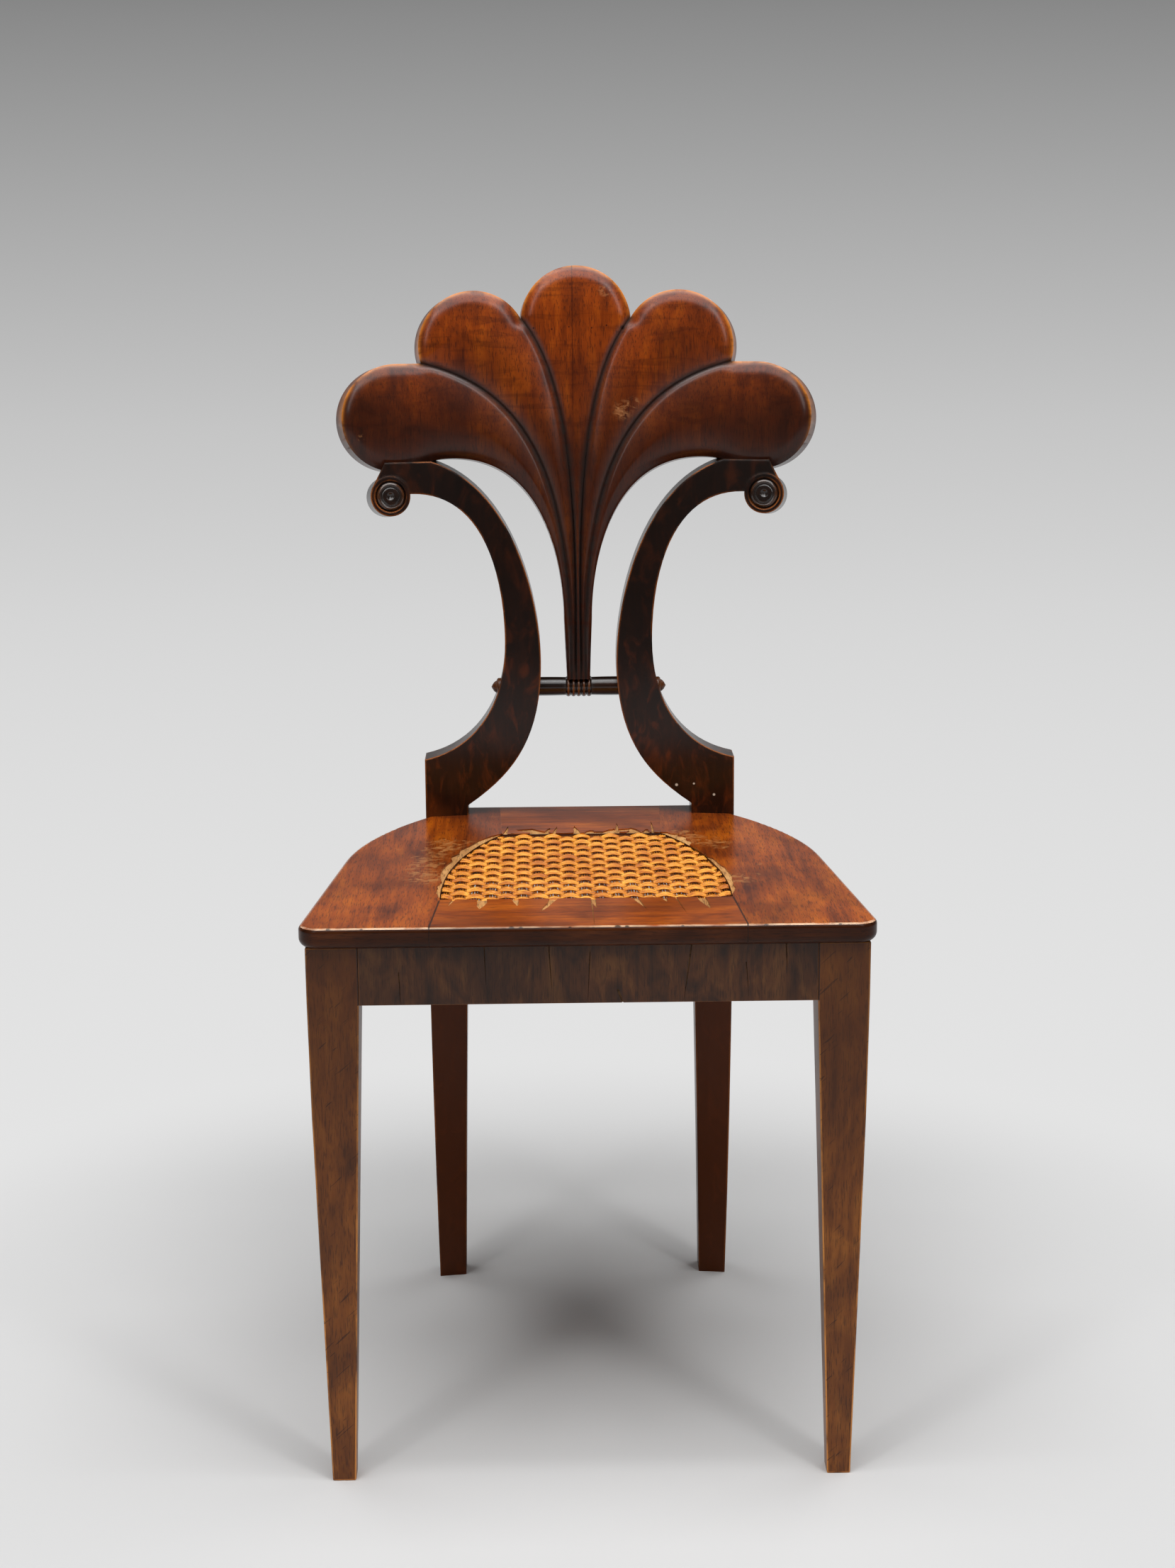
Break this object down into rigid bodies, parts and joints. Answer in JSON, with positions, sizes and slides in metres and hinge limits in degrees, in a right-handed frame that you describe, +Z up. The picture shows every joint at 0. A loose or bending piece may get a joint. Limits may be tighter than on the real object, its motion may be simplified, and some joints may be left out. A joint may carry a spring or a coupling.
{
  "type": "side chair",
  "caption": "Walnut side chair with a carved fan back on C-scroll posts, a woven cane seat in a veneered frame, tapered front legs and splayed rear legs.",
  "frame": {"origin": "on the floor, under the middle of the chair's box", "axes": "+Z up, the chair faces -Y, +X to the right as seen from the front"},
  "size_m": [0.4392, 0.4482, 0.9355],
  "materials": {
    "polished_walnut": "glossy french polish",
    "dark_walnut": "glossy dark polish, worn at the edges",
    "seat_veneer": "glossy french polish",
    "seat_walnut": "glossy french polish",
    "walnut_veneer": "satin polish",
    "beech": "bare wood",
    "cane": "woven, varnished"
  },
  "bodies": {
    "root": {"back_post_left": "dark_walnut", "back_post_right": "dark_walnut", "cane_panel": "cane", "corner_block_front_left": "beech", "corner_block_front_right": "beech", "corner_block_rear_left": "beech", "corner_block_rear_right": "beech", "cross_rod": "dark_walnut", "fan_dowel_left": "beech", "fan_dowel_right": "beech", "fan_splat": "polished_walnut", "front_leg_left": "walnut_veneer", "front_leg_right": "walnut_veneer", "front_rail": "beech", "front_rail_veneer": "walnut_veneer", "rear_rail": "beech", "rod_button_left": "dark_walnut", "rod_button_right": "dark_walnut", "roundel_left": "dark_walnut", "roundel_right": "dark_walnut", "seat_member_front": "seat_walnut", "seat_member_left": "seat_walnut", "seat_member_rear": "seat_walnut", "seat_member_right": "seat_walnut", "seat_veneer_front": "seat_veneer", "seat_veneer_left": "seat_veneer", "seat_veneer_rear": "seat_veneer", "seat_veneer_right": "seat_veneer", "side_rail_left": "beech", "side_rail_right": "beech", "stem_dowel": "beech"}
  },
  "joints": []
}
